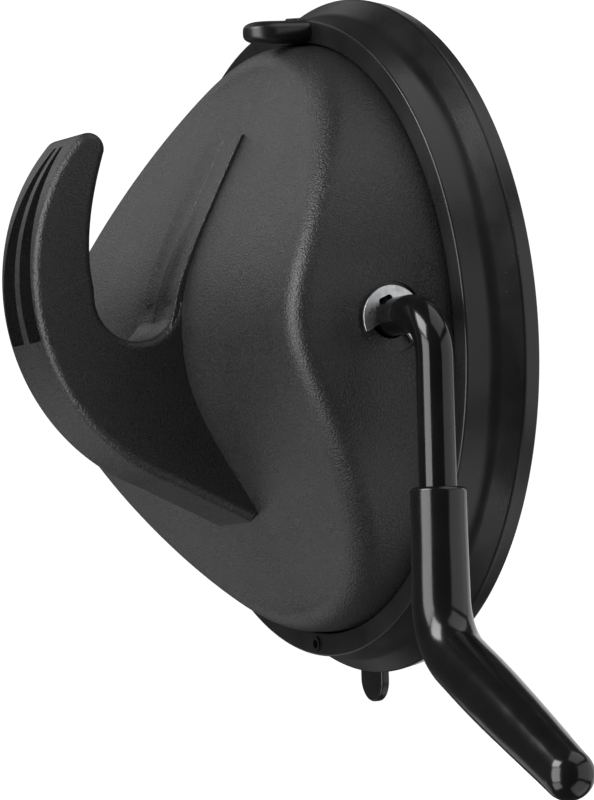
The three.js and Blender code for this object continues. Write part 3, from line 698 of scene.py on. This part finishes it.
class Shader:
    """A Principled material with a few links made easy."""

    def __init__(self, name):
        self.material = bpy.data.materials.new(name)
        self.material.use_nodes = True
        self.tree = self.material.node_tree
        self.surface = self.tree.nodes["Principled BSDF"]
        self.place = self.tree.nodes.new("ShaderNodeTexCoord").outputs["Object"]

    def set(self, **values):
        for name, value in values.items():
            self.surface.inputs[name.replace("_", " ")].default_value = value

    def noise(self, size, detail=2.0, roughness=0.5):
        """Noise with features of about a size in millimetres."""
        node = self.tree.nodes.new("ShaderNodeTexNoise")
        node.inputs["Scale"].default_value = 1 / (size * MM)
        node.inputs["Detail"].default_value = detail
        node.inputs["Roughness"].default_value = roughness
        self.tree.links.new(self.place, node.inputs["Vector"])
        return node.outputs["Fac"]

    def specks(self, spacing, size):
        """Sparse dots: 1 inside a dot, 0 elsewhere. spacing and size are millimetres."""
        cells = self.tree.nodes.new("ShaderNodeTexVoronoi")
        cells.inputs["Scale"].default_value = 1 / (spacing * MM)
        cells.inputs["Randomness"].default_value = 1.0
        self.tree.links.new(self.place, cells.inputs["Vector"])
        return self.remap(cells.outputs["Distance"], 0.0, size / spacing, 1.0, 0.0)

    def remap(self, value, low, high, to_low, to_high):
        node = self.tree.nodes.new("ShaderNodeMapRange")
        node.clamp = True
        self.tree.links.new(value, node.inputs["Value"])
        for name, number in (("From Min", low), ("From Max", high), ("To Min", to_low), ("To Max", to_high)):
            node.inputs[name].default_value = number
        return node.outputs["Result"]

    def multiply(self, a, b):
        node = self.tree.nodes.new("ShaderNodeMath")
        node.operation = "MULTIPLY"
        self.tree.links.new(a, node.inputs[0])
        self.tree.links.new(b, node.inputs[1])
        return node.outputs["Value"]

    def mix(self, factor, colour_a, colour_b):
        node = self.tree.nodes.new("ShaderNodeMix")
        node.data_type = "RGBA"
        self.tree.links.new(factor, node.inputs["Factor"])
        for name, colour in (("A", colour_a), ("B", colour_b)):
            socket = next(s for s in node.inputs if s.name == name and s.type == "RGBA")
            if isinstance(colour, tuple):
                socket.default_value = (*colour, 1)
            else:
                self.tree.links.new(colour, socket)
        return next(s for s in node.outputs if s.type == "RGBA")

    def clouded(self, cloud, dark, light, low=0.3, high=0.7):
        """A slow change between two tones."""
        return self.mix(self.remap(cloud, low, high, 0, 1), dark, light)

    def colour(self, output):
        self.tree.links.new(output, self.surface.inputs["Base Color"])

    def rough(self, output):
        self.tree.links.new(output, self.surface.inputs["Roughness"])

    def bump(self, *layers):
        """Each layer is a height and its depth in millimetres."""
        normal = None
        for height, depth in layers:
            node = self.tree.nodes.new("ShaderNodeBump")
            node.inputs["Distance"].default_value = depth * MM
            self.tree.links.new(height, node.inputs["Height"])
            if normal is not None:
                self.tree.links.new(normal, node.inputs["Normal"])
            normal = node.outputs["Normal"]
        self.tree.links.new(normal, self.surface.inputs["Normal"])


def housing_plastic():
    """Black polymer moulded against a fine spark-eroded tool."""
    shader = Shader("housing_plastic")
    shader.set(IOR=1.49)
    grain = shader.noise(0.36, 2.0, 0.6)
    cloud = shader.noise(14, 3.0)
    tone = shader.clouded(cloud, (0.013, 0.013, 0.0135), (0.018, 0.018, 0.0185), 0.35, 0.65)
    shader.colour(shader.mix(shader.remap(grain, 0.38, 0.66, 0, 0.75), tone, (0.036, 0.036, 0.037)))
    shader.rough(shader.remap(shader.noise(3.5, 2.0), 0.3, 0.7, 0.26, 0.33))
    shader.bump((shader.noise(28, 1.0), 0.02), (grain, 0.17))
    return shader.material


def cup_rubber():
    """Black rubber with a matte moulded skin and a few bright specks of dust."""
    shader = Shader("cup_rubber")
    shader.set(IOR=1.5)
    grain = shader.noise(0.25, 2.0, 0.6)
    cloud = shader.noise(9, 3.0)
    tone = shader.clouded(cloud, (0.006, 0.006, 0.0065), (0.01, 0.01, 0.0105), 0.35, 0.65)
    dust = shader.multiply(shader.specks(1.5, 0.09), shader.remap(shader.noise(7, 2.0), 0.5, 0.6, 0, 1))
    shader.colour(shader.mix(dust, tone, (0.22, 0.22, 0.22)))
    shader.rough(shader.remap(cloud, 0.3, 0.7, 0.26, 0.34))
    shader.bump((shader.noise(6, 1.0), 0.03), (grain, 0.018))
    return shader.material


def lever_enamel():
    """Smooth gloss black paint over steel, with faint orange peel and a few pits."""
    shader = Shader("lever_enamel")
    shader.set(IOR=1.5)
    cloud = shader.noise(5, 2.0)
    shader.colour(shader.clouded(cloud, (0.003, 0.003, 0.0035), (0.005, 0.005, 0.0055)))
    shader.rough(shader.remap(cloud, 0.3, 0.7, 0.12, 0.17))
    shader.bump((shader.noise(2.6, 1.0), 0.012), (shader.specks(4.0, 0.16), -0.03))
    return shader.material


def grip_vinyl():
    """Dipped vinyl: a soft gloss with slow ripples from the dip."""
    shader = Shader("grip_vinyl")
    shader.set(IOR=1.52)
    cloud = shader.noise(8, 2.0)
    shader.colour(shader.clouded(cloud, (0.004, 0.004, 0.0045), (0.006, 0.006, 0.0065)))
    shader.rough(shader.remap(shader.noise(3, 2.0), 0.3, 0.7, 0.15, 0.2))
    shader.bump((shader.noise(11, 1.0), 0.22), (shader.noise(1.2, 2.0), 0.004))
    return shader.material


def zinc_steel():
    """Bright zinc on stamped steel, clouded, with fine rolling lines."""
    shader = Shader("zinc_steel")
    shader.set(Metallic=1.0)
    cloud = shader.noise(1.6, 3.0)
    shader.colour(shader.clouded(cloud, (0.50, 0.51, 0.53), (0.68, 0.68, 0.69)))
    shader.rough(shader.remap(shader.noise(0.5, 3.0), 0.3, 0.7, 0.26, 0.42))
    shader.bump((shader.noise(0.2, 2.0), 0.006), (cloud, 0.01))
    return shader.material


def plain_polymer(name, dark, light, roughness):
    """A natural moulded polymer with slight flow clouds and a matte skin."""
    shader = Shader(name)
    cloud = shader.noise(4, 3.0)
    shader.colour(shader.clouded(cloud, dark, light))
    shader.rough(shader.remap(shader.noise(0.8, 2.0), 0.3, 0.7, roughness - 0.05, roughness + 0.05))
    shader.bump((shader.noise(0.3, 2.0), 0.008))
    return shader.material


FINISHES = {
    "housing_plastic": housing_plastic(),
    "cup_rubber": cup_rubber(),
    "lever_enamel": lever_enamel(),
    "grip_vinyl": grip_vinyl(),
    "zinc_steel": zinc_steel(),
    "cam_acetal": plain_polymer("cam_acetal", (0.66, 0.64, 0.58), (0.76, 0.74, 0.68), 0.4),
    "bush_nylon": plain_polymer("bush_nylon", (0.022, 0.022, 0.023), (0.034, 0.034, 0.035), 0.5),
}

# ---------------------------------------------------------------- pieces


def show(obj, node, slot, sharp=32.0):
    """Finishes a piece that stands for a CAD node: smooth shading, material, body and slot."""
    mesh = obj.data
    mesh.polygons.foreach_set("use_smooth", [True] * len(mesh.polygons))
    mesh.set_sharp_from_angle(angle=math.radians(sharp))
    mesh.materials.clear()
    mesh.materials.append(FINISHES[slot])
    weighted = obj.modifiers.new("weighted normals", "WEIGHTED_NORMAL")
    weighted.keep_sharp = True
    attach(obj, body_of(node))
    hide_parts(node)


def body_of(node):
    """The body that the record puts a node on."""
    bodies = frame["record"]["behaviour"]["bodies"]
    return next(body for body, nodes in bodies.items() if node in nodes)


show(housing(), "housing", "housing_plastic")
show(suction_cup(), "suction_cup", "cup_rubber")
show(lever_rod(), "lever_rod", "lever_enamel")
show(lever_grip(), "lever_grip", "grip_vinyl", 50.0)
show(retaining_clip(1), "retaining_clip_right", "zinc_steel")
show(retaining_clip(-1), "retaining_clip_left", "zinc_steel")

for part in frame["record"]["subparts"]:
    for holder in frame["nodes"][part["node"]].material_slots:
        holder.material = FINISHES[part["material_slot"]]

# ---------------------------------------------------------------- studio

CAMERA_AZIMUTH = math.radians(61.47)
CAMERA_ELEVATION = math.radians(-3.0)
CAMERA_ROLL = math.radians(-4.62)
CAMERA_DISTANCE = 900.0
CAMERA_LENS = 226.8
FRAME_CENTRE = (-13.21, -11.47)
CAMERA_SENSOR = 36.0
CAMERA_REACH = (0.01, 20.0)

# The floor is in metres: its height, its flat radius, the dome's radius and how far the dome turns up.
FLOOR_Z = -0.125
FLOOR_RADIUS = 2.0
DOME_RADIUS = 1.0
DOME_TURN = 3.1
DOME_STEPS = 24
FLOOR_SIDES = 64
FLOOR_GLOW = 0.9
WORLD_STRENGTH = 0.06

# Name, azimuth, elevation, distance, width, height and radiance. Angles are in degrees, sizes in metres.
LIGHTS = (
    ("front_softbox", -81, 0, 1.1, 0.8, 1.1, 4.5),
    ("key_light", -90, 42, 1.2, 0.75, 0.5, 8.5),
    ("low_bounce", -88, -42, 1.2, 0.8, 0.5, 2.5),
    ("left_high", -168, 32, 1.3, 0.9, 0.7, 0.55),
    ("left_low", -163, -28, 1.3, 0.9, 0.6, 0.45),
    ("right_wall", 50, 0, 1.5, 2.3, 1.6, 0.85),
    ("back_wall", 120, 0, 1.5, 1.7, 1.6, 0.9),
    ("top_back", 50, 58, 1.3, 1.5, 1.0, 1.0),
    ("right_floor", 50, -55, 1.3, 1.4, 0.8, 0.85),
)


def camera_axes():
    """The camera's right, up and back directions in the part's frame."""
    a, e, r = CAMERA_AZIMUTH, CAMERA_ELEVATION, CAMERA_ROLL
    back = Vector((math.sin(a) * math.cos(e), -math.cos(a) * math.cos(e), math.sin(e)))
    level = Vector((math.cos(a), math.sin(a), 0))
    upright = back.cross(level)
    return math.cos(r) * level + math.sin(r) * upright, math.cos(r) * upright - math.sin(r) * level, back


def add_camera():
    """A long lens on the lever's side, a little below the part."""
    right, up, back = camera_axes()
    place = back * CAMERA_DISTANCE * MM
    target = (right * FRAME_CENTRE[0] + up * FRAME_CENTRE[1]) * MM
    toward = (place - target).normalized()
    across = up.cross(toward).normalized()
    rows = Matrix((across, toward.cross(across), toward)).transposed()
    data = bpy.data.cameras.new("camera")
    data.lens = CAMERA_LENS
    data.sensor_width = CAMERA_SENSOR
    data.clip_start, data.clip_end = CAMERA_REACH
    camera = bpy.data.objects.new("camera", data)
    camera.matrix_world = Matrix.Translation(place) @ rows.to_4x4()
    bpy.context.scene.collection.objects.link(camera)
    bpy.context.scene.camera = camera


def add_light(name, azimuth, elevation, distance, width, height, radiance):
    """A soft box that faces the part. Azimuth 0 is along +X and -90 is in front of the part."""
    a, e = math.radians(azimuth), math.radians(elevation)
    place = distance * Vector((math.cos(a) * math.cos(e), math.sin(a) * math.cos(e), math.sin(e)))
    data = bpy.data.lights.new(name, "AREA")
    data.shape = "RECTANGLE"
    data.size, data.size_y = width, height
    data.energy = radiance * math.pi * width * height
    light = bpy.data.objects.new(name, data)
    light.matrix_world = Matrix.Translation(place) @ place.to_track_quat("Z", "Y").to_matrix().to_4x4()
    light.visible_camera = False
    bpy.context.scene.collection.objects.link(light)


def stage_material(name, colour, glow):
    """A matte material that also glows, for the floor and dome."""
    material = bpy.data.materials.new(name)
    material.use_nodes = True
    surface = material.node_tree.nodes["Principled BSDF"]
    surface.inputs["Base Color"].default_value = (*colour, 1)
    surface.inputs["Roughness"].default_value = 0.9
    surface.inputs["Emission Color"].default_value = (1, 1, 1, 1)
    surface.inputs["Emission Strength"].default_value = glow
    return material


def add_studio():
    """A pale floor under a white dome that only the camera sees."""
    scene = bpy.context.scene
    scene.view_settings.view_transform = "Standard"
    scene.world = bpy.data.worlds.new("world")
    scene.world.use_nodes = True
    background = scene.world.node_tree.nodes["Background"]
    background.inputs["Color"].default_value = (1, 1, 1, 1)
    background.inputs["Strength"].default_value = WORLD_STRENGTH
    tool = bmesh.new()
    rings = []
    for turn in np.linspace(0, DOME_TURN, DOME_STEPS):
        radius = FLOOR_RADIUS + DOME_RADIUS * math.sin(turn)
        height = FLOOR_Z + DOME_RADIUS * (1 - math.cos(turn))
        rings.append([tool.verts.new((x, y, height)) for x, y in circle(radius, FLOOR_SIDES)])
    for low, high in zip(rings, rings[1:]):
        for j in range(FLOOR_SIDES):
            k = (j + 1) % FLOOR_SIDES
            tool.faces.new((low[j], low[k], high[k], high[j]))
    tool.faces.new(rings[0])
    mesh = bpy.data.meshes.new("studio_floor")
    tool.to_mesh(mesh)
    tool.free()
    mesh.materials.append(stage_material("studio_white", (0.85, 0.85, 0.85), FLOOR_GLOW))
    floor = bpy.data.objects.new("studio_floor", mesh)
    scene.collection.objects.link(floor)
    floor.visible_diffuse = False
    floor.visible_glossy = False
    floor.visible_shadow = False


add_camera()
add_studio()
for row in LIGHTS:
    add_light(*row)
